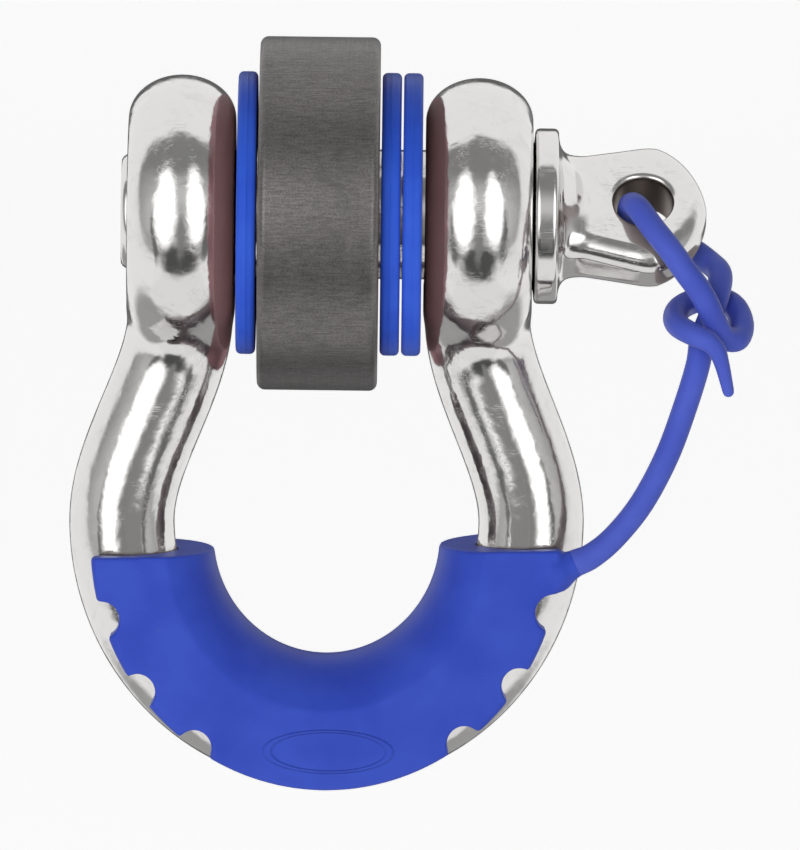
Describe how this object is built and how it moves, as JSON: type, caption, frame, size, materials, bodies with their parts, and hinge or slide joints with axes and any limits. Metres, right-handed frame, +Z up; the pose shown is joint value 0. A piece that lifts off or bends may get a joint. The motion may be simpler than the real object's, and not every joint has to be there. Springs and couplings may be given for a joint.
{
  "type": "bow shackle",
  "caption": "Screw-pin bow shackle with a moulded isolator boot, pin washers, a thick steel ring on the pin and a tether that locks the pin.",
  "frame": {"origin": "on the pin's axis, midway between the two ears, where the load is carried", "axes": "+X along the pin towards its eye, +Z up the line of load away from the bow, -Y towards the front"},
  "size_m": [0.1158, 0.06, 0.1282],
  "materials": {
    "polished_steel": "mirror-polished stainless steel with fine scratches",
    "pin_steel": "polished forged steel with soft edges and small nicks",
    "satin_grey_steel": "dark grey satin steel with fine turning marks",
    "washer_urethane": "blue moulded urethane, satin",
    "boot_urethane": "blue moulded urethane, satin, with small scuffs"
  },
  "bodies": {
    "bow": {"bow_body": "polished_steel", "isolator_boot": "boot_urethane", "lock_tether": "boot_urethane"},
    "pin": {"screw_pin": "pin_steel"},
    "ring": {"load_ring": "satin_grey_steel"},
    "left_washer": {"washer_left": "washer_urethane"},
    "inner_washer": {"washer_right_inner": "washer_urethane"},
    "outer_washer": {"washer_right_outer": "washer_urethane"}
  },
  "joints": [
    {"name": "pin_turn", "type": "hinge", "parent": "bow", "child": "pin", "pos_m": [0, 0, 0], "axis": [1, 0, 0], "range_deg": [-20, 25], "deforming": ["lock_tether"]},
    {"name": "ring_turn", "type": "hinge", "parent": "pin", "child": "ring", "pos_m": [0, 0, 0], "axis": [1, 0, 0], "continuous": true},
    {"name": "left_washer_turn", "type": "hinge", "parent": "pin", "child": "left_washer", "pos_m": [0, 0, 0], "axis": [1, 0, 0], "continuous": true},
    {"name": "inner_washer_turn", "type": "hinge", "parent": "pin", "child": "inner_washer", "pos_m": [0, 0, 0], "axis": [1, 0, 0], "continuous": true},
    {"name": "outer_washer_turn", "type": "hinge", "parent": "pin", "child": "outer_washer", "pos_m": [0, 0, 0], "axis": [1, 0, 0], "continuous": true}
  ]
}
